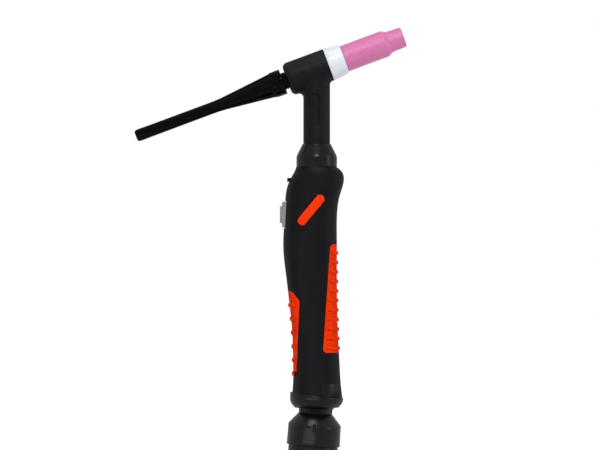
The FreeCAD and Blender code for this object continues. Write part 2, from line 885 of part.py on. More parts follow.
def make_neck_collar():
    """The collar that covers the joint of neck and grip and holds the shells' top together."""
    cone_foot = S.neck_collar_top - S.neck_collar_cone
    skirt = S.spigot_radius + S.spigot_clearance
    turned("neck_collar", [
        (S.neck_radius, S.neck_collar_foot + S.neck_collar_skirt),
        (skirt, S.neck_collar_foot + S.neck_collar_skirt), (skirt, S.neck_collar_foot),
        (S.neck_collar_radius, S.neck_collar_foot), (S.neck_collar_radius, cone_foot),
        (S.neck_radius + S.neck_collar_lip, S.neck_collar_top),
        (S.neck_radius, S.neck_collar_top)])


def cross_bars(name, first, pitch, count, thickness, slope):
    """Level slabs across the grip, each tilted by a slope, as one tool."""
    half = thickness / 2
    drop = tangent(slope) * FAR
    bars = []
    for index in range(count):
        height = first - pitch * index
        bars.append(slab(f"{name}_{index}", [
            (as_size(-FAR), height - half + drop), (as_size(FAR), height - half - drop),
            (as_size(FAR), height + half - drop), (as_size(-FAR), height + half + drop)]))
    return fuse(name, *bars)


def ribbed_pad(name, area, rib_area, bars, outer, crest, floor):
    """A pad between the floor form and the outer one, with ribs on its face. Gives its bed."""
    bed = cut(name + "_bed", area, floor)
    sheet_part = common(name + "_sheet", bed, outer)
    rib_blocks = common(name + "_rib_blocks", common(name + "_rib_area", rib_area, bars), crest)
    ribs = cut(name + "_ribs", rib_blocks, outer)
    grouped(name, sheet_part, ribs)
    return bed


def make_pads(outer):
    """Soft pads let into the front and the back of the grip. Gives the beds they lie in."""
    floor = grip_form("pad_floor_form", -S.pad_depth)
    crest = grip_form("rib_crest_form", S.rib_proud)
    front = slab("front_pad_slab", [
        (S.front_pad_top_edge, S.front_pad_top), (as_size(FAR), S.front_pad_top),
        (as_size(FAR), S.front_pad_foot), (S.front_pad_foot_edge, S.front_pad_foot)])
    front = round_corners("front_pad_area", front, S.pad_corner_rounding,
                          (S.front_pad_top_edge, S.front_pad_top),
                          (S.front_pad_foot_edge, S.front_pad_foot))
    margin = S.rib_margin
    rib_reach = slab("front_rib_reach", [
        (S.front_pad_top_edge + margin, S.front_pad_top), (as_size(FAR), S.front_pad_top),
        (as_size(FAR), S.front_pad_foot), (S.front_pad_foot_edge + margin, S.front_pad_foot)])
    bars = cross_bars("front_rib_bars", S.front_rib_first, S.front_rib_pitch,
                      SIZES["front_rib_count"], S.front_rib_thickness, S.rib_slope)
    front_bed = ribbed_pad("grip_pad_front", front, rib_reach, bars, outer, crest, floor)

    rear = slab("rear_pad_area", [
        (as_size(-FAR), S.rear_pad_top),
        (S.rear_pad_top_edge - S.pad_corner_rounding * 2, S.rear_pad_top),
        (S.rear_pad_top_edge, S.rear_pad_top_inner),
        (S.rear_pad_foot_edge, S.rear_pad_foot_inner), (as_size(-FAR), S.rear_pad_foot)])
    rib_reach = slab("rear_rib_reach", [
        (as_size(-FAR), S.rear_pad_top), (S.rear_pad_top_edge - margin * 2, S.rear_pad_top),
        (S.rear_pad_foot_edge - margin, S.rear_pad_foot), (as_size(-FAR), S.rear_pad_foot)])
    bars = cross_bars("rear_rib_bars", S.rear_rib_first, S.rear_rib_pitch,
                      SIZES["rear_rib_count"], S.rear_rib_thickness, as_size(0))
    rear_bed = ribbed_pad("grip_pad_rear", rear, rib_reach, bars, outer, crest, floor)
    return [front_bed, rear_bed]


def make_badge():
    """A bare badge let into the near side, a little proud of it. Gives the bed it lies in."""
    crest = grip_form("badge_crest_form", S.badge_proud)
    floor = grip_form("badge_floor_form", -S.badge_depth)
    area = stadium("badge_area", S.badge_across, S.badge_height, S.badge_span,
                   S.badge_radius, S.badge_angle, as_size(-FAR), as_size(0))
    bed = cut("badge_bed", area, floor)
    common("badge", bed, crest)
    return bed


def trigger_span(clearance=0):
    """The trigger's low and high ends, grown by a clearance."""
    half = S.trigger_length / 2 + clearance
    return S.trigger_height - half, S.trigger_height + half


def make_switch_housing(outer):
    """The insert in the back of the grip that guides the trigger."""
    area = slab("housing_area", [
        (as_size(-FAR), S.housing_top), (S.housing_top_edge, S.housing_top),
        (S.housing_corner_edge, S.housing_corner_height),
        (S.housing_edge, S.housing_knee_height), (S.housing_edge, S.housing_cut_top),
        (S.housing_cut_edge, S.housing_foot), (as_size(-FAR), S.housing_foot)])
    body = common("housing_body", area, outer)
    low, high = trigger_span(S.housing_pocket_margin)
    half = S.housing_pocket_width / 2
    pocket = block("housing_pocket", S.housing_front, 0, -half, half, low, high)
    low, high = trigger_span(S.trigger_clearance)
    half = S.trigger_width / 2 + S.trigger_clearance
    window = block("housing_window", -FAR, 0, -half, half, low, high)
    cut("switch_housing", body, pocket, window)
    return area


def screw_places():
    """Column and height of each screw that joins the shells, clear of the pads."""
    return [(S.screw_top_column, S.screw_top_height),
            (S.screw_middle_column, S.screw_middle_height),
            (S.screw_foot_column, S.screw_foot_height)]


def make_shells(outer, beds):
    """The two halves of the grip, split where Y is 0, with beds for what is let into them."""
    inner_form = grip_form("cavity_form", -S.shell_wall)
    reach = block("cavity_reach", -FAR, FAR, -FAR, FAR, S.cavity_foot, S.cavity_top)
    cavity = common("grip_cavity", inner_form, reach)
    case_half = S.case_width / 2
    bosses = []
    for index, (x, z) in enumerate(screw_places()):
        bosses.append(cross_bar(f"screw_boss_{index}", S.screw_boss_radius, -FAR, FAR, x, z))
    for side, (start, end) in {"near": (-FAR, -case_half), "far": (case_half, FAR)}.items():
        for level in ("low", "high"):
            bosses.append(cross_bar(f"switch_post_{side}_{level}", S.switch_post_radius,
                                    start, end, S.switch_pin_column,
                                    getattr(S, "switch_pin_" + level)))
    hollow_room = cut("grip_room", cavity, *bosses)
    lug_half = S.lug_width / 2
    lug = block("hanging_lug", -S.lug_reach, S.lug_thickness - S.lug_reach, -lug_half,
                lug_half, S.lug_height - S.lug_thickness / 2,
                S.lug_height + S.lug_thickness / 2)
    above = cylinder("above_foot", FAR * 2, FAR * 4, z=S.grip_foot, axis=ABOUT_Y,
                     angle=S.grip_foot_slope)
    trimmed = common("grip_trimmed", outer, above)
    top_spigot = cylinder("top_spigot", S.spigot_radius, S.neck_collar_skirt,
                          z=S.neck_collar_foot)
    spigot_foot = -(S.ball_drop + S.ring_spigot_foot)
    low_spigot = cylinder("low_spigot", S.ring_spigot_radius, S.ring_spigot_length,
                          z=spigot_foot)
    whole = fuse("grip_whole", trimmed, top_spigot, low_spigot, lug)

    ball_room = S.ball_radius + S.ball_clearance
    ball_hole = doc.addObject("Part::Sphere", "ball_hole")
    bind(ball_hole, "Radius", ball_room)
    place(ball_hole, z=-S.ball_drop)
    tools = [
        cylinder("neck_hole", S.neck_radius, FAR, z=S.neck_foot),
        cylinder("hose_hole", S.seat_bore, FAR, z=-S.ball_drop),
        cylinder("seat_pocket", S.seat_radius + S.seat_clearance,
                 S.seat_top - S.seat_skirt + S.seat_clearance, z=S.seat_skirt - S.ball_drop),
        cylinder("ball_skirt_hole", ball_room, FAR, z=-(S.ball_drop + FAR)),
        ball_hole,
    ]
    pin_tip = S.switch_pin_reach
    for level in ("low", "high"):
        tools.append(cross_bar("switch_pin_hole_" + level, S.switch_pin_radius, -pin_tip,
                               pin_tip, S.switch_pin_column,
                               getattr(S, "switch_pin_" + level)))
    for index, (x, z) in enumerate(screw_places()):
        tools.append(cross_bar(f"screw_hole_{index}", S.screw_radius, -S.screw_tip,
                               S.screw_seat, x, z))
        head_hole = S.screw_head_radius + S.screw_head_clearance
        tools.append(cross_bar(f"screw_head_hole_{index}", head_hole, S.screw_seat,
                               FAR, x, z))
    hollow = cut("grip_bored", whole, *tools)
    for index, bed in enumerate([hollow_room] + beds):
        hollow = cut(f"grip_cut_{index}", hollow, bed)
    near = block("near_side", -FAR * 2, FAR * 2, -FAR, 0, -FAR * 2, FAR * 2)
    far = block("far_side", -FAR * 2, FAR * 2, 0, FAR, -FAR * 2, FAR * 2)
    common("handle_shell_left", hollow, near)
    common("handle_shell_right", hollow, far)


def make_shell_screws():
    """Screws driven from the far side, with a hexagon socket in each head."""
    screws = []
    for index, (x, z) in enumerate(screw_places()):
        top = S.screw_seat + S.screw_head_height
        shank = cross_bar(f"screw_shank_{index}", S.screw_radius, -S.screw_tip,
                          S.screw_seat, x, z)
        head = cross_bar(f"screw_head_{index}", S.screw_head_radius, S.screw_seat, top, x, z)
        socket = doc.addObject("Part::Prism", f"screw_socket_{index}")
        socket.Polygon = 6
        bind(socket, "Circumradius", S.screw_hex_radius)
        bind(socket, "Height", S.screw_hex_depth)
        place(socket, x=x, y=top - S.screw_hex_depth, z=z, axis=ALONG_Y, angle=-90)
        screws.append(cut(f"screw_{index}", fuse(f"screw_blank_{index}", shank, head), socket))
    fuse("shell_screws", *screws)


# Trigger and switch

def make_trigger():
    """The button in two tiers, its flange behind the housing and the nub that moves the lever."""
    flange_front = S.housing_front + S.trigger_gap
    flange_back = flange_front + S.flange_thickness
    low, high = trigger_span()
    half = S.trigger_width / 2
    base = block("trigger_base", S.trigger_face, flange_back, -half, half, low, high)
    top_half = S.trigger_top_width / 2
    top_reach = S.trigger_top_length / 2
    top = block("trigger_top", S.trigger_top_face, S.trigger_face, -top_half, top_half,
                S.trigger_height - top_reach, S.trigger_height + top_reach)
    tiers = fuse("trigger_tiers", base, top)
    doc.recompute()
    corners = []
    for index, edge in enumerate(tiers.Shape.Edges, start=1):
        box = edge.BoundBox
        outside = box.XMax < S.trigger_face.number + S.trigger_rounding.number
        on_base = abs(box.YMin + half.number) < 1e-4 or abs(box.YMax - half.number) < 1e-4
        on_base = on_base or abs(box.ZMin - low.number) < 1e-4
        on_base = on_base or abs(box.ZMax - high.number) < 1e-4
        on_top = abs(box.XMin - S.trigger_top_face.number) < 1e-4
        if outside and (on_base or on_top) and box.DiagonalLength > 0:
            corners.append((index, S.trigger_rounding.number, S.trigger_rounding.number))
    soft = doc.addObject("Part::Fillet", "trigger_soft")
    soft.Base = tiers
    soft.Edges = corners
    low, high = trigger_span(S.flange_overhang)
    reach = half + S.flange_overhang
    flange = block("trigger_flange", flange_front, flange_back, -reach, reach, low, high)
    nub_end = lever_front() - S.lever_gap
    nub = side_bar("trigger_nub", S.nub_radius, flange_back, nub_end, 0,
                   S.hinge_height - S.lever_arm)
    fuse("trigger_button", soft, flange, nub)


def lever_front():
    """How far out the lever's front lies at rest, where the trigger's nub meets it."""
    return S.hinge_column - S.trigger_travel - S.lever_thickness / 2


def make_switch():
    """The switch case with its ears, lever, plunger, pins, blades and the return spring."""
    half = S.case_width / 2
    back = S.case_front + S.case_depth
    case = block("case_block", S.case_front, back, -half, half, S.case_foot, S.case_top)
    ears = []
    inside = S.lever_width / 2 + S.ear_clearance
    for side, (start, end) in {"near": (-half, -inside), "far": (inside, half)}.items():
        ears.append(block(f"case_ear_{side}", S.hinge_column - S.hinge_radius, S.case_front,
                          start, end, S.hinge_height - S.hinge_radius, S.case_top))
    plunger_height = S.hinge_height - S.plunger_arm
    plunger_travel = S.trigger_travel * S.plunger_arm / S.lever_arm
    plunger_front = S.hinge_column - plunger_travel + S.lever_thickness / 2 + S.plunger_gap
    plunger_back = plunger_front + S.plunger_length
    hole_end = plunger_back + plunger_travel + S.plunger_clearance
    holes = [
        side_bar("plunger_hole", S.plunger_radius + S.plunger_clearance, S.case_front,
                 hole_end, 0, plunger_height),
        cross_bar("hinge_hole", S.hinge_pin_radius, -half, half, S.hinge_column,
                  S.hinge_height),
    ]
    for level in ("low", "high"):
        holes.append(cross_bar("case_pin_hole_" + level, S.switch_pin_radius, -half, half,
                               S.switch_pin_column, getattr(S, "switch_pin_" + level)))
    cut("switch_case", fuse("case_blank", case, *ears), *holes)
    side_bar("switch_plunger", S.plunger_radius, plunger_front, plunger_back, 0,
             plunger_height)
    cross_bar("lever_pin", S.hinge_pin_radius, -half, half, S.hinge_column, S.hinge_height)
    reach = S.switch_pin_reach
    fuse("switch_pins", *[
        cross_bar("switch_pin_" + level, S.switch_pin_radius, -reach, reach,
                  S.switch_pin_column, getattr(S, "switch_pin_" + level))
        for level in ("low", "high")])

    plate_half = S.lever_width / 2
    plate = block("lever_plate", -S.lever_thickness / 2, S.lever_thickness / 2, -plate_half,
                  plate_half, -S.lever_length, 0)
    barrel = cross_bar("lever_barrel", S.hinge_radius - S.hinge_clearance, -plate_half,
                       plate_half, 0, 0)
    pin_hole = cross_bar("lever_pin_hole", S.hinge_pin_radius + S.hinge_clearance,
                         -plate_half, plate_half, 0, 0)
    lever = cut("switch_lever", fuse("lever_blank", plate, barrel), pin_hole)
    lean = math.degrees(math.atan(S.trigger_travel.number / S.lever_arm.number))
    formula = f"atan({S.trigger_travel.formula} / {S.lever_arm.formula})"
    place(lever, x=S.hinge_column, z=S.hinge_height, axis=ABOUT_Y, angle=Size(lean, formula))

    blades = []
    for index in range(2):
        x = S.case_front + S.terminal_setback + S.terminal_pitch * index
        blades.append(block(f"blade_{index}", x, x + S.terminal_thickness,
                            -S.terminal_width / 2, S.terminal_width / 2,
                            S.case_foot - S.terminal_length, S.case_foot))
    fuse("switch_terminals", *blades)
    make_spring()


def make_spring():
    """The trigger's return spring, as the plain tube that its turns fill."""
    start = S.housing_front + S.trigger_gap + S.flange_thickness
    length = S.case_front - start
    spring = turned("trigger_spring", [
        (S.spring_radius - S.spring_wire_radius, 0),
        (S.spring_radius + S.spring_wire_radius, 0),
        (S.spring_radius + S.spring_wire_radius, length),
        (S.spring_radius - S.spring_wire_radius, length)])
    place(spring, x=start, z=S.spring_height, axis=ABOUT_Y, angle=90)


# Ball joint and hose end

def make_ball_joint():
    """The friction seat in the grip and the hollow ball with its neck and snap flange."""
    room = S.ball_radius + S.ball_clearance
    seat_blank = turned("seat_blank", [
        (S.seat_bore, S.seat_skirt), (S.seat_radius, S.seat_skirt),
        (S.seat_radius, S.seat_top), (S.seat_bore, S.seat_top)])
    room_ball = doc.addObject("Part::Sphere", "seat_ball_room")
    bind(room_ball, "Radius", room)
    place(cut("ball_seat", seat_blank, room_ball), z=-S.ball_drop)

    ball = doc.addObject("Part::Sphere", "ball_sphere")
    bind(ball, "Radius", S.ball_radius)
    flange_foot = -(S.ball_neck_depth + S.ball_flange_thickness)
    neck = turned("ball_neck", [
        (0, 0), (S.ball_neck_radius, 0), (S.ball_neck_radius, -S.ball_neck_depth),
        (S.ball_flange_radius, -S.ball_neck_depth), (S.ball_flange_radius, flange_foot),
        (0, flange_foot)])
    bore = cylinder("ball_bore_hole", S.ball_bore, FAR * 2, z=-FAR)
    on_swivel(cut("knuckle_ball", fuse("ball_blank", ball, neck), bore))


def make_end_ring():
    """The ring that closes the grip's foot, holds the ball and carries a raised tab."""
    bore = S.ring_spigot_radius + S.ring_clearance
    room = S.ball_radius + S.ball_clearance
    lip = chord(room, S.ring_lip_depth)
    blank = turned("ring_blank", [
        (bore, S.ring_foot), (S.ring_radius, S.ring_foot), (S.ring_radius, -S.ring_waist),
        (S.ring_foot_radius, -S.ring_foot), (lip + S.ring_flare, -S.ring_foot),
        (lip, -S.ring_lip_depth), (lip, -(S.ring_spigot_foot + S.ring_clearance)),
        (bore, -(S.ring_spigot_foot + S.ring_clearance))])
    place(blank, z=-S.ball_drop)
    room_ball = doc.addObject("Part::Sphere", "ring_ball_room")
    bind(room_ball, "Radius", room)
    place(room_ball, z=-S.ball_drop)
    above = doc.getObject("above_foot")
    ring = cut("ring_body", blank, room_ball, above)
    strip = block("tab_strip", S.tab_inner, S.tab_outer, -FAR, 0,
                  -(S.ball_drop + S.ring_waist / 2), S.tab_top)
    tab_round = cylinder("tab_round", S.tab_radius, FAR, z=-(S.ball_drop + S.ring_waist))
    tab_floor = grip_form("tab_floor_form", S.tab_clearance)
    tab = cut("tab_body", common("tab_blank", strip, tab_round), tab_floor)
    fuse("end_ring", ring, tab)


def make_swivel():
    """The collar that turns on the ball's neck, its latch and the ferrule for the hose."""
    bore = S.ball_neck_radius + S.collar_clearance
    pocket_top = -(S.ball_neck_depth - S.collar_clearance)
    body = turned("collar_turned", [
        (bore, -S.collar_top), (S.collar_shoulder_radius, -S.collar_shoulder),
        (S.collar_radius, -S.collar_foot), (S.collar_pocket_radius, -S.collar_foot),
        (S.collar_pocket_radius, pocket_top), (bore, pocket_top)])
    slot = stadium("collar_slot", as_size(0), -S.collar_slot_height,
                   S.collar_slot_length - S.collar_slot_width, S.collar_slot_width / 2,
                   as_size(90), as_size(-FAR), -S.collar_slot_floor)
    on_swivel(cut("swivel_collar", body, slot))
    latch = stadium("collar_latch", as_size(0), -S.collar_slot_height,
                    S.collar_slot_length - S.collar_slot_width, S.collar_slot_width / 2,
                    as_size(90), -S.latch_face, -S.collar_slot_floor)
    on_swivel(grouped("latch_tongue", latch))

    spigot_top = -(S.collar_foot - S.ferrule_spigot)
    ferrule = turned("sleeve_ferrule", [
        (S.ferrule_bore, -S.ferrule_foot), (S.ferrule_radius, -S.ferrule_foot),
        (S.ferrule_radius, -S.collar_foot), (S.collar_pocket_radius, -S.collar_foot),
        (S.collar_pocket_radius, spigot_top), (S.ferrule_bore, spigot_top)])
    rounded(ferrule, S.ferrule_rounding, (S.ferrule_radius, -S.ferrule_foot))
    on_swivel(ferrule)


NODES = (
    "torch_body", "head_rubber", "front_insulator", "nozzle", "collet_body", "collet",
    "electrode", "back_cap", "cap_seal", "gas_tube", "water_supply_tube",
    "power_return_tube", "gas_hose_tail", "water_hose_tail", "power_hose_tail",
    "neck_collar", "handle_shell_left", "handle_shell_right", "shell_screws",
    "grip_pad_front", "grip_pad_rear", "badge", "switch_housing", "trigger_button",
    "trigger_spring", "switch_case", "switch_lever", "lever_pin", "switch_plunger",
    "switch_terminals", "switch_pins", "end_ring", "ball_seat", "knuckle_ball",
    "swivel_collar", "latch_tongue", "sleeve_ferrule",
)


def main():
    make_head()
    make_tubes()
    make_insulator()
    make_nozzle()
    make_collet_body()
    make_collet()
    make_electrode()
    make_back_cap()
    make_cap_seal()
    make_neck_collar()
    outer = grip_form("grip_outer")
    beds = make_pads(outer) + [make_badge(), make_switch_housing(outer)]
    make_shells(outer, beds)
    make_shell_screws()
    make_trigger()
    make_switch()
    make_ball_joint()
    make_end_ring()
    make_swivel()
    doc.recompute()

    for obj in doc.Objects:
        failed = [state for state in obj.State if state in ("Invalid", "Error")]
        if failed:
            raise RuntimeError(f"{obj.Label} failed: {failed}")
    os.makedirs("parts", exist_ok=True)
    for name in NODES:
        piece = doc.getObject(name)
        piece.Label = name
        shape = piece.Shape
        if shape.isNull() or not shape.isValid() or not shape.Solids:
            raise RuntimeError(f"{name} has no valid solid")
    for name in NODES:
        shape = doc.getObject(name).Shape
        shape.exportStep(f"parts/{name}.step")
        print(f"{name}: {len(shape.Solids)} solid(s), {shape.Volume:.1f} mm3")


main()
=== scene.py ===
import json
import math

import bpy
from mathutils import Matrix, Vector


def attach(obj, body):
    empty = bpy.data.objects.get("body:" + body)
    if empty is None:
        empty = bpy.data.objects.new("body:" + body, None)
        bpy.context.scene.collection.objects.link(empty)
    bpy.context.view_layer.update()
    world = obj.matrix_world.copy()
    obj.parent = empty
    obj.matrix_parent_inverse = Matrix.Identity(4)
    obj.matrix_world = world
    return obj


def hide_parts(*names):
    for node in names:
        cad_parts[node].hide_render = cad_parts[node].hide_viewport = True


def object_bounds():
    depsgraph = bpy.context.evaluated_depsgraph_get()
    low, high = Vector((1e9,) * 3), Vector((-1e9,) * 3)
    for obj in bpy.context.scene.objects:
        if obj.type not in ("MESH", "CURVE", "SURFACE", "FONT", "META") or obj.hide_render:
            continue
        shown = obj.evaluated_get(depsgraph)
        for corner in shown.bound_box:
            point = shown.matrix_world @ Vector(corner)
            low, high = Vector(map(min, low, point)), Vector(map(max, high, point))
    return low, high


# A TIG welding torch. The CAD frame is in metres: +Z runs up the grip, +X is the nozzle's side
# and -Y is the near side. Sizes below are in millimetres and are turned to metres by MM, apart
# from the places and sizes of the lamps and the floor, which are in metres.
MM = 0.001

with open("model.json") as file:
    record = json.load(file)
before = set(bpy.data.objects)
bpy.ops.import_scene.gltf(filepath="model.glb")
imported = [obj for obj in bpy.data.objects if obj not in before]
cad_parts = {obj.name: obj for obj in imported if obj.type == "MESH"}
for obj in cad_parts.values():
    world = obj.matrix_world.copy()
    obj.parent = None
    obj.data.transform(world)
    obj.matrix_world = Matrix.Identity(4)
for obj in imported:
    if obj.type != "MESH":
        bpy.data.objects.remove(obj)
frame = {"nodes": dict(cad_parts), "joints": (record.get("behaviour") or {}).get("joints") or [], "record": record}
cad_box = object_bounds()
scene = bpy.context.scene


# Axis of the head and body of each node, read from the record

joints = {joint["name"]: joint for joint in frame["joints"]}
bodies_of = {node: body for body, nodes in frame["record"]["behaviour"]["bodies"].items()
             for node in nodes}

head_axis = Vector(joints["nozzle_pull"]["axis"])
cap_point = Vector(joints["back_cap_screw"]["pos_m"])
head_centre = cap_point - head_axis * (cap_point.x / head_axis.x)


# Which finish and record slot each node of the torch has

NODES_BY_SLOT = {
    "brass": ["torch_body", "collet_body"],
    "copper": ["collet"],
    "head_rubber": ["head_rubber"],
    "insulator": ["front_insulator"],
    "nozzle": ["nozzle"],
    "electrode": ["electrode"],
    "cap": ["back_cap"],
    "seal": ["cap_seal"],
    "tube": ["gas_tube", "water_supply_tube", "power_return_tube", "gas_hose_tail",
             "water_hose_tail", "power_hose_tail"],
    "collar": ["neck_collar", "end_ring", "swivel_collar", "sleeve_ferrule"],
    "shell": ["handle_shell_left", "handle_shell_right"],
    "steel": ["shell_screws", "trigger_spring", "switch_lever", "lever_pin", "switch_pins",
              "switch_terminals"],
    "pad": ["grip_pad_front", "grip_pad_rear"],
    "badge": ["badge"],
    "housing": ["switch_housing"],
    "button": ["trigger_button"],
    "switch": ["switch_case", "switch_plunger"],
    "knuckle": ["ball_seat", "knuckle_ball", "latch_tongue"],
}
slot_of = {node: slot for slot, nodes in NODES_BY_SLOT.items() for node in nodes}


# Finishes

# Finishes below this shine lose their gloss where the surface turns away, as matt ones do,
# between these two values of Layer Weight's Facing
MATT_SHINE = 0.3
GLOSS_FULL_UNTIL, GLOSS_GONE_FROM = 0.35, 0.85
# The values of a pattern between which the roughness changes, and those for the colours
ROUGHNESS_RANGE = (0.3, 0.7)
COLOUR_RANGE = (0.35, 0.65)
# How far light soaks into ceramic and pale plastic
SOAK_DEPTH = 1.5
# Size of the colour patches and of the gloss patches of moulded pieces
MOULDED_MOTTLE = 9.0
MOULDED_GLOSS_PATCH = 3.6


def linear(screen):
    """A colour as a screen shows it, from 0 to 255, as the light that it stands for."""
    parts = [part / 255 for part in screen]
    return tuple(part / 12.92 if part <= 0.04045 else ((part + 0.055) / 1.055) ** 2.4
                 for part in parts) + (1.0,)


class Finish:
    """A procedural material. Its patterns read the piece's own coordinates."""

    def __init__(self, name, metallic=0.0, shine=0.5, coat=0.0, coat_roughness=0.1,
                 subsurface=0.0):
        self.material = bpy.data.materials.new(name)
        self.material.use_nodes = True
        self.tree = self.material.node_tree
        self.shader = self.tree.nodes["Principled BSDF"]
        self.shader.inputs["Metallic"].default_value = metallic
        self.shader.inputs["Specular IOR Level"].default_value = shine
        self.shader.inputs["Coat Weight"].default_value = coat
        self.shader.inputs["Coat Roughness"].default_value = coat_roughness
        self.shader.inputs["Subsurface Weight"].default_value = subsurface
        self.shader.inputs["Subsurface Scale"].default_value = SOAK_DEPTH * MM
        self.place = self.add("ShaderNodeTexCoord").outputs["Object"]
        self.last_bump = None
        if shine < MATT_SHINE:
            turned_away = self.add("ShaderNodeLayerWeight").outputs["Facing"]
            self.spread(turned_away, (GLOSS_FULL_UNTIL, GLOSS_GONE_FROM), (shine, 0.0),
                        "Specular IOR Level")

    def add(self, kind):
        return self.tree.nodes.new(kind)

    def link(self, source, target):
        self.tree.links.new(source, target)

    def noise(self, size, detail=3.0, stretch=None):
        """Cloudy pattern whose patches are about this many millimetres across."""
        cloud = self.add("ShaderNodeTexNoise")
        cloud.inputs["Scale"].default_value = 1 / (size * MM)
        cloud.inputs["Detail"].default_value = detail
        source = self.place
        if stretch:
            mapping = self.add("ShaderNodeMapping")
            mapping.inputs["Scale"].default_value = stretch
            self.link(source, mapping.inputs["Vector"])
            source = mapping.outputs["Vector"]
        self.link(source, cloud.inputs["Vector"])
        return cloud.outputs["Fac"]

    def pebbles(self, size):
        """Pattern of soft pebbles that are about this many millimetres across."""
        cells = self.add("ShaderNodeTexVoronoi")
        cells.feature = "SMOOTH_F1"
        cells.inputs["Scale"].default_value = 1 / (size * MM)
        self.link(self.place, cells.inputs["Vector"])
        return cells.outputs["Distance"]

    def spread(self, pattern, taken, given, socket):
        """Sends a range of a pattern to a socket of the shader, as a range of its values."""
        span = self.add("ShaderNodeMapRange")
        span.inputs["From Min"].default_value, span.inputs["From Max"].default_value = taken
        span.inputs["To Min"].default_value, span.inputs["To Max"].default_value = given
        self.link(pattern, span.inputs["Value"])
        self.link(span.outputs["Result"], self.shader.inputs[socket])

    def roughness(self, pattern, low, high):
        """Makes the gloss uneven by a pattern."""
        self.spread(pattern, ROUGHNESS_RANGE, (low, high), "Roughness")

    def colours(self, pattern, *screen_colours):
        """Blends two colours by a pattern."""
        ramp = self.add("ShaderNodeValToRGB")
        for stop, place, screen in zip(ramp.color_ramp.elements, COLOUR_RANGE, screen_colours):
            stop.position = place
            stop.color = linear(screen)
        self.link(pattern, ramp.inputs["Fac"])
        self.link(ramp.outputs["Color"], self.shader.inputs["Base Color"])

    def bump(self, pattern, depth, strength=1.0):
        """Raises and lowers the surface by a pattern, by about this many millimetres."""
        relief = self.add("ShaderNodeBump")
        relief.inputs["Distance"].default_value = depth * MM
        relief.inputs["Strength"].default_value = strength
        self.link(pattern, relief.inputs["Height"])
        if self.last_bump:
            self.link(self.last_bump, relief.inputs["Normal"])
        self.last_bump = relief.outputs["Normal"]
        self.link(self.last_bump, self.shader.inputs["Normal"])


def head_rubber_finish():
    finish = Finish("matt_head_rubber", shine=0.1)
    finish.colours(finish.noise(size=7.0), (11, 9, 13), (16, 14, 18))
    finish.roughness(finish.noise(size=2.5), low=0.42, high=0.56)
    finish.bump(finish.noise(size=5.0, detail=2.0), depth=0.05, strength=0.5)
    finish.bump(finish.noise(size=0.35, detail=4.0), depth=0.012)
    return finish.material


def shell_finish():
    finish = Finish("textured_grip_plastic", shine=0.08)
    finish.colours(finish.noise(size=14.0), (10, 8, 11), (15, 13, 16))
    finish.roughness(finish.noise(size=4.0), low=0.4, high=0.52)
    finish.bump(finish.noise(size=9.0, detail=2.0), depth=0.08, strength=0.4)
    finish.bump(finish.pebbles(size=0.45), depth=0.014)
    return finish.material


def cap_finish():
    finish = Finish("polished_black_cap", shine=0.045)
    finish.colours(finish.noise(size=5.0), (2, 2, 2), (5, 3, 4))
    finish.roughness(finish.noise(size=1.8, detail=6.0), low=0.05, high=0.11)
    finish.bump(finish.noise(size=3.5, detail=1.0), depth=0.02, strength=0.4)
    return finish.material


def ceramic_finish():
    finish = Finish("pink_nozzle_ceramic", shine=0.4, coat=0.15, coat_roughness=0.35,
                    subsurface=0.12)
    finish.colours(finish.noise(size=2.0), (209, 112, 166), (215, 119, 172))
    finish.roughness(finish.noise(size=1.5), low=0.38, high=0.5)
    finish.bump(finish.noise(size=0.3, detail=6.0), depth=0.01)
    return finish.material


def insulator_finish():
    finish = Finish("white_insulator_plastic", shine=0.45, subsurface=0.2)
    finish.colours(finish.noise(size=2.0), (224, 229, 238), (230, 235, 243))
    finish.roughness(finish.noise(size=1.2), low=0.28, high=0.4)
    finish.bump(finish.noise(size=0.4, detail=4.0), depth=0.008)
    return finish.material


def pad_finish():
    finish = Finish("soft_orange_rubber", shine=0.035)
    finish.colours(finish.noise(size=6.0), (232, 48, 1), (243, 58, 4))
    finish.roughness(finish.noise(size=2.0), low=0.45, high=0.6)
    finish.bump(finish.noise(size=0.3, detail=5.0), depth=0.012)
    return finish.material


def moulded_finish(name, dark, light, shine, rough, grain, depth):
    """Moulded plastic or rubber: two close shades, uneven gloss and a fine grain."""
    finish = Finish(name, shine=shine)
    finish.colours(finish.noise(MOULDED_MOTTLE), dark, light)
    finish.roughness(finish.noise(MOULDED_GLOSS_PATCH), *rough)
    finish.bump(finish.noise(grain, detail=5.0), depth)
    return finish.material


def metal_finish(name, dark, light, rough, brush):
    """Machined or drawn metal, with its brush marks drawn out where brush is small."""
    finish = Finish(name, metallic=1.0)
    finish.colours(finish.noise(size=3.0), dark, light)
    finish.roughness(finish.noise(size=0.5, stretch=brush), *rough)
    finish.bump(finish.noise(size=0.3, stretch=brush), depth=0.004)
    return finish.material


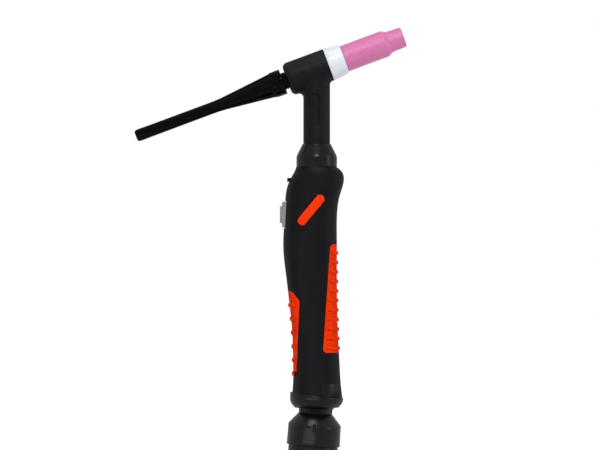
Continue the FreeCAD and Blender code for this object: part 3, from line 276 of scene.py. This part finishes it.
FINISHES = {
    "head_rubber": head_rubber_finish(),
    "shell": shell_finish(),
    "cap": cap_finish(),
    "nozzle": ceramic_finish(),
    "insulator": insulator_finish(),
    "pad": pad_finish(),
    "badge": moulded_finish("orange_badge_inlay", (240, 50, 2), (247, 58, 5),
                            shine=0.08, rough=(0.3, 0.4), grain=0.5, depth=0.006),
    "collar": moulded_finish("satin_black_ring", (6, 5, 7), (10, 8, 11),
                             shine=0.17, rough=(0.2, 0.27), grain=0.5, depth=0.002),
    "housing": moulded_finish("switch_housing_plastic", (8, 7, 9), (13, 11, 14),
                              shine=0.08, rough=(0.4, 0.5), grain=0.4, depth=0.012),
    "button": moulded_finish("grey_trigger_plastic", (130, 129, 133), (142, 141, 144),
                             shine=0.4, rough=(0.38, 0.5), grain=0.4, depth=0.01),
    "switch": moulded_finish("switch_case_plastic", (44, 44, 48), (58, 58, 62),
                             shine=0.4, rough=(0.35, 0.5), grain=0.4, depth=0.01),
    "knuckle": moulded_finish("slippery_knuckle_plastic", (8, 7, 9), (13, 11, 14),
                              shine=0.12, rough=(0.2, 0.28), grain=0.5, depth=0.003),
    "seal": moulded_finish("seal_rubber", (18, 17, 19), (28, 27, 29),
                           shine=0.4, rough=(0.25, 0.4), grain=0.3, depth=0.006),
    "brass": metal_finish("machined_brass", (206, 166, 96), (224, 186, 116),
                          rough=(0.22, 0.36), brush=(1, 1, 0.1)),
    "copper": metal_finish("turned_copper", (188, 116, 80), (210, 136, 98),
                           rough=(0.22, 0.36), brush=(1, 1, 0.1)),
    "tube": metal_finish("drawn_copper_tube", (196, 126, 84), (214, 146, 102),
                         rough=(0.25, 0.4), brush=(1, 1, 0.05)),
    "electrode": metal_finish("ground_tungsten", (150, 151, 155), (176, 177, 181),
                              rough=(0.2, 0.34), brush=(1, 1, 0.2)),
    "steel": metal_finish("plated_steel", (178, 180, 184), (200, 202, 206),
                          rough=(0.24, 0.38), brush=(1, 0.2, 1)),
}


# Helpers for modelling

# Corners closer than this become one, and flat faces that meet at less than this one face
MERGE_DISTANCE = 0.001 * MM
FLAT_ANGLE = 0.05
# Edges turned by more than this are corners that can be rounded
CORNER_ANGLE = 30
# Faces that meet at less than this are shaded as one
SHADE_ANGLES = {"copy": 35, "turned": 50, "stem": 40, "cap": 60, "trigger": 40}
# Sides of a turned piece
TURNED_SIDES = 96
# A face whose normal reaches this far along an axis looks straight along it
STRAIGHT = 0.99


def only(piece):
    """Selects one piece alone."""
    bpy.ops.object.select_all(action="DESELECT")
    piece.select_set(True)
    bpy.context.view_layer.objects.active = piece


def edit(piece):
    only(piece)
    bpy.ops.object.mode_set(mode="EDIT")


def leave_edit():
    bpy.ops.object.mode_set(mode="OBJECT")


def pick(piece, kind, test):
    """In edit mode, selects the vertices, edges or faces that pass a test, and counts them."""
    bpy.ops.mesh.select_mode(type=kind)
    bpy.ops.mesh.select_all(action="DESELECT")
    leave_edit()
    mesh = piece.data
    parts = {"VERT": mesh.vertices, "EDGE": mesh.edges, "FACE": mesh.polygons}[kind]
    count = 0
    for part in parts:
        part.select = bool(test(part))
        count += part.select
    bpy.ops.object.mode_set(mode="EDIT")
    return count


def merge_all():
    """In edit mode, selects all and merges its doubles."""
    bpy.ops.mesh.select_all(action="SELECT")
    bpy.ops.mesh.remove_doubles(threshold=MERGE_DISTANCE)


def apply_modifier(piece, kind, **settings):
    only(piece)
    modifier = piece.modifiers.new(kind.lower(), kind)
    for name, value in settings.items():
        setattr(modifier, name, value)
    bpy.ops.object.modifier_apply(modifier=modifier.name)


def soften(piece, width, angle=40):
    """Rounds every edge that is turned by more than an angle."""
    apply_modifier(piece, "BEVEL", width=width * MM, segments=3, limit_method="ANGLE",
                   angle_limit=math.radians(angle), use_clamp_overlap=True,
                   harden_normals=False)


def smooth(piece, angle):
    only(piece)
    bpy.ops.object.shade_smooth_by_angle(angle=math.radians(angle))


def settle_on_head(piece):
    """Puts a piece that is drawn about +Z on the head's axis, and its place in its mesh."""
    lean = math.atan2(head_axis.x, head_axis.z)
    piece.matrix_world = Matrix.Translation(head_centre) @ Matrix.Rotation(lean, 4, "Y")
    only(piece)
    bpy.ops.object.transform_apply(location=True, rotation=True, scale=True)


def turn(name, profile, sides=TURNED_SIDES):
    """A turned piece: one circle is drawn out ring by ring along its profile."""
    bpy.ops.object.select_all(action="DESELECT")
    radius, height = profile[0]
    bpy.ops.mesh.primitive_circle_add(vertices=sides, radius=radius * MM,
                                      location=(0, 0, height * MM))
    piece = bpy.context.object
    piece.name = name
    bpy.ops.object.transform_apply(location=True, rotation=True, scale=True)
    bpy.ops.object.mode_set(mode="EDIT")
    bpy.ops.mesh.select_mode(type="VERT")
    bpy.ops.mesh.select_all(action="SELECT")
    for next_radius, next_height in profile[1:]:
        rise = (0, 0, (next_height - height) * MM)
        bpy.ops.mesh.extrude_region_move(TRANSFORM_OT_translate={"value": rise})
        grow = next_radius / radius
        bpy.ops.transform.resize(value=(grow, grow, 1),
                                 center_override=(0, 0, next_height * MM))
        radius, height = next_radius, next_height
    merge_all()
    bpy.ops.mesh.fill_holes(sides=0)
    bpy.ops.mesh.select_all(action="SELECT")
    bpy.ops.mesh.normals_make_consistent(inside=False)
    leave_edit()
    return piece


def finish_piece(piece, node, replaced=True):
    """Gives a piece its finish and the body of the CAD node that it stands for, and hides that node when the piece
    replaces it.
    """
    piece.data.materials.clear()
    piece.data.materials.append(FINISHES[slot_of[node]])
    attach(piece, bodies_of[node])
    if replaced:
        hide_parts(node)


def merged_copy(node, name):
    """A copy of a CAD node with merged corners and whole flat faces."""
    source = frame["nodes"][node]
    copy = source.copy()
    copy.data = source.data.copy()
    copy.name = name
    for key in list(copy.keys()):
        del copy[key]
    copy.parent = None
    scene.collection.objects.link(copy)
    edit(copy)
    merge_all()
    bpy.ops.mesh.dissolve_limited(angle_limit=math.radians(FLAT_ANGLE))
    leave_edit()
    return copy


def edge_faces(piece):
    """The normal and centre of the faces on each edge of a piece, by the edge's corners."""
    faces = {}
    for face in piece.data.polygons:
        for key in face.edge_keys:
            faces.setdefault(key, []).append((face.normal.copy(), face.center.copy()))
    return faces


def round_edges(piece, test, width, segments):
    """Rounds the outward corners that pass a test of their two ends and face normals."""
    faces = edge_faces(piece)
    corners = [vertex.co / MM for vertex in piece.data.vertices]

    def chosen(edge):
        first, second = sorted(edge.vertices)
        sides = faces.get((first, second), [])
        if len(sides) != 2:
            return False
        (normal, centre), (other_normal, other_centre) = sides
        if normal.angle(other_normal) < math.radians(CORNER_ANGLE):
            return False
        outward = (other_centre - centre).dot(normal) < 0
        return outward and test(corners[first], corners[second], (normal, other_normal))

    edit(piece)
    if pick(piece, "EDGE", chosen):
        bpy.ops.mesh.bevel(offset=width * MM, segments=segments, affect="EDGES",
                           clamp_overlap=False)
    leave_edit()


# Softened pieces

RIBS = {
    # piece: (height of its top rib, distance from rib to rib, number of ribs)
    "front_pad": (26.1, 6.0, 11),
    "rear_pad": (-8.4, 8.65, 6),
}
RIB_FLANK_SLOPE = 0.75
RIB_ROUNDING = 0.72

RING_WAIST = -69.6
RING_RIM_LOWEST = -68.6
RING_RIM_RADIUS = 16.8
RING_RIM_SLOPE = 0.9
RING_WAIST_ROUNDING = 2.0
RING_RIM_ROUNDING = 0.8
TAB_TOP = -57.6
TAB_ROUNDING = 0.5

BADGE_SIDE_SLOPE = 0.5
BADGE_MARGIN = 0.45

PANEL_FLOOR = -7.9
PANEL_MARGIN = 0.35
PANEL_PUSH = 0.55

# How far a corner or face may lie from the place that it is known by
RIB_REACH = 2.1
WAIST_REACH = 0.1
TAB_REACH = 0.5
PANEL_REACH = 0.06


def round_ribs(pad):
    """Rounds the long edges of a pad's ribs."""
    top, spacing, count = RIBS[pad.name]
    rib_heights = [top - spacing * number for number in range(count)]

    def on_rib(first, second, normals):
        middle = (first.z + second.z) / 2
        near = min(abs(middle - height) for height in rib_heights) < RIB_REACH
        return near and max(abs(normal.z) for normal in normals) > RIB_FLANK_SLOPE

    round_edges(pad, on_rib, RIB_ROUNDING, segments=4)


def round_ring(ring):
    """Gives the foot ring its soft bowl and rounds its top edge and its tab."""
    def at_waist(first, second, normals):
        return max(abs(first.z - RING_WAIST), abs(second.z - RING_WAIST)) < WAIST_REACH

    def at_rim(first, second, normals):
        radii = [math.hypot(end.x, end.y) for end in (first, second)]
        above_waist = min(first.z, second.z) > RING_RIM_LOWEST
        level = max(normal.z for normal in normals) > RING_RIM_SLOPE
        return above_waist and level and min(radii) > RING_RIM_RADIUS

    def at_tab_top(first, second, normals):
        return min(first.z, second.z) > TAB_TOP - TAB_REACH

    round_edges(ring, at_waist, RING_WAIST_ROUNDING, segments=6)
    round_edges(ring, at_rim, RING_RIM_ROUNDING, segments=3)
    round_edges(ring, at_tab_top, TAB_ROUNDING, segments=3)


def sink_badge(badge):
    """Draws the badge's side in, so that the rim of its recess shows round it."""
    def on_side(face):
        return abs(face.normal.y) < BADGE_SIDE_SLOPE

    edit(badge)
    pick(badge, "FACE", on_side)
    bpy.ops.transform.shrink_fatten(value=-BADGE_MARGIN * MM, use_even_offset=True)
    leave_edit()


def deepen_panel(head):
    """Sinks the floor of the bare panel on the neck."""
    def on_floor(face):
        near = abs(face.center.y / MM - PANEL_FLOOR) < PANEL_REACH
        return near and face.normal.y < -STRAIGHT

    edit(head)
    if pick(head, "FACE", on_floor):
        bpy.ops.mesh.inset(thickness=PANEL_MARGIN * MM)
        bpy.ops.transform.translate(value=(0, PANEL_PUSH * MM, 0))
    leave_edit()


SOFTENED = {
    # node: (name of the piece that is shown, width of its rounded edges, what is done first)
    "head_rubber": ("head_moulding", 0.35, deepen_panel),
    "handle_shell_left": ("near_shell", 0.2, None),
    "handle_shell_right": ("far_shell", 0.2, None),
    "grip_pad_front": ("front_pad", 0.35, round_ribs),
    "grip_pad_rear": ("rear_pad", 0.35, round_ribs),
    "switch_housing": ("trigger_housing", 0.3, None),
    "end_ring": ("foot_ring", 0.3, round_ring),
    "knuckle_ball": ("knuckle", 0.2, None),
    "swivel_collar": ("hose_collar", 0.35, None),
    "sleeve_ferrule": ("hose_ferrule", 0.25, None),
    "latch_tongue": ("slot_latch", 0.1, None),
    "badge": ("badge_inlay", 0.12, sink_badge),
}


def make_softened():
    """Copies of the CAD nodes that show outside, with small rounded edges."""
    for node, (name, width, shape_first) in SOFTENED.items():
        piece = merged_copy(node, name)
        if shape_first:
            shape_first(piece)
        soften(piece, width)
        smooth(piece, SHADE_ANGLES["copy"])
        finish_piece(piece, node)


# Turned pieces. A profile is a list of (radius, height). The heights of the neck sleeve are
# the torch's own, and the others run along the head's axis from the middle of the head.

NECK_SLEEVE = [
    (8.45, 84.0), (11.0, 84.0), (11.0, 79.1), (12.5, 79.1), (12.72, 79.2), (12.8, 79.4),
    (12.8, 80.0), (12.8, 84.6), (12.77, 85.3), (12.65, 85.9), (12.4, 86.6), (12.1, 87.3),
    (9.35, 92.75), (9.05, 93.35), (8.85, 93.6), (8.6, 93.7), (8.45, 93.7), (8.45, 84.0)]

NOZZLE = [
    # seat and outside, up to the step
    (6.3, 11.7), (7.9, 11.7), (8.1, 11.9), (8.1, 18.2), (8.1, 18.6), (8.35, 18.7),
    (8.5, 19.0), (8.5, 19.6), (8.5, 32.0), (8.5, 45.0),
    # soft step down to the tip
    (8.48, 45.6), (8.38, 46.1), (8.15, 46.6), (7.75, 47.3), (7.3, 48.0), (7.0, 48.7),
    (6.82, 49.4), (6.74, 50.4), (6.7, 51.4), (6.6, 54.5), (6.5, 57.6),
    # rounded mouth, bore and inside
    (6.42, 58.1), (6.2, 58.45), (5.9, 58.6), (4.7, 58.6), (4.3, 58.5), (4.08, 58.2),
    (4.0, 57.8), (4.0, 47.0), (6.3, 43.0), (6.3, 11.7)]

INSULATOR = [
    (5.5, 7.8), (10.2, 7.8), (10.45, 7.95), (10.52, 8.2), (10.52, 10.2), (10.5, 10.7),
    (10.42, 11.4), (9.9, 15.6), (9.66, 17.4), (9.56, 18.0), (9.35, 18.4), (9.0, 18.6),
    (8.6, 18.6), (8.3, 18.5), (8.2, 18.2), (8.2, 11.6), (5.5, 11.6), (5.5, 7.8)]

CAP_STEM = [
    (1.8, -5.5), (4.2, -5.5), (4.5, -5.9), (4.5, -12.8), (5.0, -13.1), (5.0, -20.2),
    (5.5, -20.4), (5.5, -21.4), (5.25, -21.6), (5.25, -22.0), (5.5, -22.2), (5.5, -25.5),
    (1.8, -25.5), (1.8, -5.5)]

CAP_RIM = [
    (5.6, -24.6), (5.9, -23.5), (7.3, -22.9), (7.85, -22.62), (8.12, -22.75), (8.15, -23.2),
    (8.15, -26.0), (8.1, -28.6)]

CAP_END = [
    (3.85, -119.6), (3.72, -120.9), (3.25, -121.8), (2.35, -122.1), (0.8, -122.1)]


def make_neck_sleeve():
    """The collar over the joint of neck and grip: a short skirt under a cone."""
    sleeve = turn("neck_sleeve", NECK_SLEEVE)
    smooth(sleeve, SHADE_ANGLES["turned"])
    finish_piece(sleeve, "neck_collar")


def make_on_head(name, profile, node, kind="turned", replaced=True):
    """A turned piece on the head's axis."""
    piece = turn(name, profile)
    smooth(piece, SHADE_ANGLES[kind])
    settle_on_head(piece)
    finish_piece(piece, node, replaced)


# Back cap

CAP_SIDES = 24
SIDES_TO_A_FLUTE = 3
RIDGE_SIDE = 1
# The rings stand this much wider, because subdivision draws the finished surface in
CAGE_GROWTH = 3 / (2 + math.cos(2 * math.pi / CAP_SIDES))

CAP_RADIUS = 8.15
CAP_END_RADIUS = 3.85
TAPER_START = -28.8
TAPER_END = -65.7

FLUTE_START = -30.0
FLUTE_END = -117.0
FLUTE_DEPTH_AT_START = 1.15
FLUTE_DEPTH_AT_TAPER_END = 0.25
FLUTE_DEPTH_AT_END = 0.07
# Width of the slope round the floor of a flute
FLUTE_BRINK = 0.22
FLUTE_RINGS = [FLUTE_START, -34.0, -38.0, -43.0, -49.0, -55.0, -61.0, -66.5, -74.0, -84.0,
               -95.0, -106.0, FLUTE_END]
# How far from a ring's height its flute corners may lie, along the flutes and at their ends
RING_REACH = 0.4
END_RING_REACH = 1.2


def between(height, start, end, at_start, at_end):
    """A value that changes evenly from one height to another."""
    return at_start + (at_end - at_start) * (start - height) / (start - end)


def cap_radius(height):
    """Outer radius of the back cap at a height on the head's axis."""
    if height > TAPER_START:
        return CAP_RADIUS
    if height > TAPER_END:
        return between(height, TAPER_START, TAPER_END, CAP_RADIUS, CAP_END_RADIUS)
    return CAP_END_RADIUS


def flute_depth(height):
    """How deep the flutes are cut: most behind the rim, fading along the slender part."""
    if height > TAPER_END:
        return between(height, FLUTE_START, TAPER_END,
                       FLUTE_DEPTH_AT_START, FLUTE_DEPTH_AT_TAPER_END)
    return between(height, TAPER_END, FLUTE_END,
                   FLUTE_DEPTH_AT_TAPER_END, FLUTE_DEPTH_AT_END)


def make_fluted_cap():
    """The long back cap: a flared rim, eight flutes and a slender end."""
    profile = CAP_RIM + [(cap_radius(height), height) for height in FLUTE_RINGS] + CAP_END
    cap = turn("fluted_cap", [(radius * CAGE_GROWTH, height) for radius, height in profile],
               sides=CAP_SIDES)

    def in_flute(face):
        angle = math.atan2(face.center.y, face.center.x) % (2 * math.pi)
        side = int(angle / (2 * math.pi / CAP_SIDES)) % SIDES_TO_A_FLUTE
        return FLUTE_END < face.center.z / MM < FLUTE_START and side != RIDGE_SIDE

    edit(cap)
    pick(cap, "FACE", in_flute)
    bpy.ops.mesh.inset(thickness=FLUTE_BRINK * MM, use_even_offset=True)
    leave_edit()
    flute_floor = {vertex.index for vertex in cap.data.vertices if vertex.select}
    for height in FLUTE_RINGS:
        reach = END_RING_REACH if height in (FLUTE_START, FLUTE_END) else RING_REACH

        def on_ring(vertex):
            near = abs(vertex.co.z / MM - height) < reach
            return near and vertex.index in flute_floor

        edit(cap)
        if pick(cap, "VERT", on_ring):
            shrink = 1 - flute_depth(height) / cap_radius(height)
            bpy.ops.transform.resize(value=(shrink, shrink, 1),
                                     center_override=(0, 0, height * MM))
        leave_edit()
    apply_modifier(cap, "SUBSURF", levels=2, render_levels=2)
    smooth(cap, SHADE_ANGLES["cap"])
    settle_on_head(cap)
    finish_piece(cap, "back_cap")


# Trigger

TRIGGER_LENGTH = 16.4
TRIGGER_WIDTH = 10.0
TRIGGER_FACE = -22.0
TRIGGER_FOOT = -17.15
TRIGGER_HEIGHT = 49.0
TRIGGER_CORNER = 1.1
TRIGGER_EDGE = 0.3
# The top tier starts from the inset face, a little wider and a fifth shorter
TIER_MARGIN = 0.35
TIER_SCALE = (1, 8.0 / 7.9, 11.2 / 14.3)
TIER_RISE = 1.4
DISH_MARGIN = 0.9
DISH_DEPTH = 0.25
# The face is the only part that looks outwards and is larger than this, in square millimetres
FACE_AREA = 20


def make_trigger():
    """The two-tier trigger button, with a shallow dish in its top tier."""
    bpy.ops.object.select_all(action="DESELECT")
    face, foot, height = TRIGGER_FACE * MM, TRIGGER_FOOT * MM, TRIGGER_HEIGHT * MM
    bpy.ops.mesh.primitive_cube_add(size=1, location=((face + foot) / 2, 0, height))
    button = bpy.context.object
    button.name = "two_tier_trigger"
    button.scale = (foot - face, TRIGGER_WIDTH * MM, TRIGGER_LENGTH * MM)
    bpy.ops.object.transform_apply(location=True, rotation=True, scale=True)

    def on_face(part):
        return part.normal.x < -STRAIGHT and part.area > FACE_AREA * MM * MM

    edit(button)
    bpy.ops.mesh.select_all(action="SELECT")
    bpy.ops.mesh.bevel(offset=TRIGGER_CORNER * MM, segments=5, affect="EDGES")
    pick(button, "FACE", on_face)
    bpy.ops.mesh.inset(thickness=TIER_MARGIN * MM)
    bpy.ops.transform.resize(value=TIER_SCALE, center_override=(face, 0, height))
    bpy.ops.mesh.extrude_region_move(
        TRANSFORM_OT_translate={"value": (-TIER_RISE * MM, 0, 0)})
    bpy.ops.mesh.inset(thickness=DISH_MARGIN * MM)
    bpy.ops.transform.translate(value=(DISH_DEPTH * MM, 0, 0))
    leave_edit()
    soften(button, TRIGGER_EDGE, angle=50)
    edit(button)
    merge_all()
    bpy.ops.mesh.normals_make_consistent(inside=False)
    leave_edit()
    smooth(button, SHADE_ANGLES["trigger"])
    finish_piece(button, "trigger_button")


make_softened()
make_neck_sleeve()
make_on_head("ceramic_nozzle", NOZZLE, "nozzle")
make_on_head("white_insulator", INSULATOR, "front_insulator")
make_fluted_cap()
make_on_head("cap_stem", CAP_STEM, "back_cap", kind="stem", replaced=False)
make_trigger()


# Every CAD node gets its finish too, because the inner ones still show

for node, piece in frame["nodes"].items():
    piece.data.materials.clear()
    piece.data.materials.append(FINISHES[slot_of[node]])


# Studio

WHITE = (1, 1, 1, 1)

FLOOR_SIZE = 8
FLOOR_GAP = 0.5
FLOOR_COLOUR = (0.8, 0.8, 0.8, 1)
# How much the floor is lifted to white where it is seen
FLOOR_LIFT = 0.45
AIR_LIGHT = 0.25

LENS = 250
FILM_WIDTH = 36
# How wide the view is at the torch, and where its middle is
VIEW_WIDTH = 379.8
VIEW_CENTRE_X = -10.57
VIEW_CENTRE_Z = 42.4


def where_seen(tree):
    """1 where the camera, gloss or glass looks, and 0 where light only falls."""
    path = tree.nodes.new("ShaderNodeLightPath")
    seen = path.outputs["Is Camera Ray"]
    for ray in ("Is Glossy Ray", "Is Transmission Ray"):
        either = tree.nodes.new("ShaderNodeMath")
        either.operation = "MAXIMUM"
        tree.links.new(seen, either.inputs[0])
        tree.links.new(path.outputs[ray], either.inputs[1])
        seen = either.outputs[0]
    return seen


def make_floor():
    """A plain pale floor that keeps the torch's shadow and looks white to the camera."""
    bpy.ops.object.select_all(action="DESELECT")
    low = cad_box[0].z - FLOOR_GAP * MM
    bpy.ops.mesh.primitive_plane_add(size=FLOOR_SIZE, location=(0, 0, low))
    floor = bpy.context.object
    floor.name = "studio_floor"
    paint = bpy.data.materials.new("pale_floor")
    paint.use_nodes = True
    tree = paint.node_tree
    nodes, links = tree.nodes, tree.links
    nodes.remove(nodes["Principled BSDF"])
    chalk = nodes.new("ShaderNodeBsdfDiffuse")
    chalk.inputs["Color"].default_value = FLOOR_COLOUR
    glow = nodes.new("ShaderNodeEmission")
    lift = nodes.new("ShaderNodeMath")
    lift.operation = "MULTIPLY"
    lift.inputs[1].default_value = FLOOR_LIFT
    both = nodes.new("ShaderNodeAddShader")
    links.new(where_seen(tree), lift.inputs[0])
    links.new(lift.outputs[0], glow.inputs["Strength"])
    links.new(chalk.outputs[0], both.inputs[0])
    links.new(glow.outputs[0], both.inputs[1])
    links.new(both.outputs[0], nodes["Material Output"].inputs["Surface"])
    floor.data.materials.append(paint)


def make_world():
    """Soft grey light all round, which the camera, gloss and glass see as white."""
    air = bpy.data.worlds.new("studio_air")
    air.use_nodes = True
    scene.world = air
    tree = air.node_tree
    nodes, links = tree.nodes, tree.links
    soft = nodes["Background"]
    white = nodes.new("ShaderNodeBackground")
    for background, strength in ((soft, AIR_LIGHT), (white, 1.0)):
        background.inputs["Color"].default_value = WHITE
        background.inputs["Strength"].default_value = strength
    choice = nodes.new("ShaderNodeMixShader")
    links.new(where_seen(tree), choice.inputs["Fac"])
    links.new(soft.outputs[0], choice.inputs[1])
    links.new(white.outputs[0], choice.inputs[2])
    links.new(choice.outputs[0], nodes["World Output"].inputs["Surface"])


def hang_lamp(name, light, place, aim):
    """Puts a light at a place, facing a point."""
    lamp = bpy.data.objects.new(name, light)
    scene.collection.objects.link(lamp)
    lamp.location = place
    lamp.rotation_euler = (Vector(aim) - Vector(place)).to_track_quat("-Z", "Y").to_euler()
    return lamp


def make_sun(name, place, power, spread):
    """A broad light from one side, the same everywhere. Its spread is in degrees."""
    light = bpy.data.lights.new(name, "SUN")
    light.energy = power
    light.angle = math.radians(spread)
    hang_lamp(name, light, place, aim=(0, 0, 0))


def make_softbox(name, place, aim, size, power):
    """A rectangular lamp that faces a point of the torch, out of the camera's sight."""
    light = bpy.data.lights.new(name, "AREA")
    light.shape = "RECTANGLE"
    light.size, light.size_y = size
    light.energy = power
    hang_lamp(name, light, place, aim).visible_camera = False


def make_camera():
    """The camera at the photograph's angle, level and square to the near side."""
    lens = bpy.data.cameras.new("photo_camera")
    lens.lens = LENS
    lens.sensor_width = FILM_WIDTH
    camera = bpy.data.objects.new("photo_camera", lens)
    scene.collection.objects.link(camera)
    distance = VIEW_WIDTH * LENS / FILM_WIDTH
    camera.location = (VIEW_CENTRE_X * MM, -distance * MM, VIEW_CENTRE_Z * MM)
    camera.rotation_euler = (math.radians(90), 0, 0)
    scene.camera = camera


make_floor()
make_world()
make_camera()
make_sun("key_light", place=(-0.03, -1.0, 0.75), power=1.35, spread=14)
make_sun("overhead_light", place=(-0.05, -0.25, 1.0), power=0.9, spread=22)
make_softbox("low_strip", place=(-0.2, -0.5, -0.1), aim=(-0.03, 0, 0.05),
             size=(0.5, 0.01), power=0.4)
make_softbox("side_softbox", place=(0.8, -0.25, 0.25), aim=(0, 0, 0.03),
             size=(0.3, 0.6), power=1.2)
scene.view_settings.view_transform = "Standard"
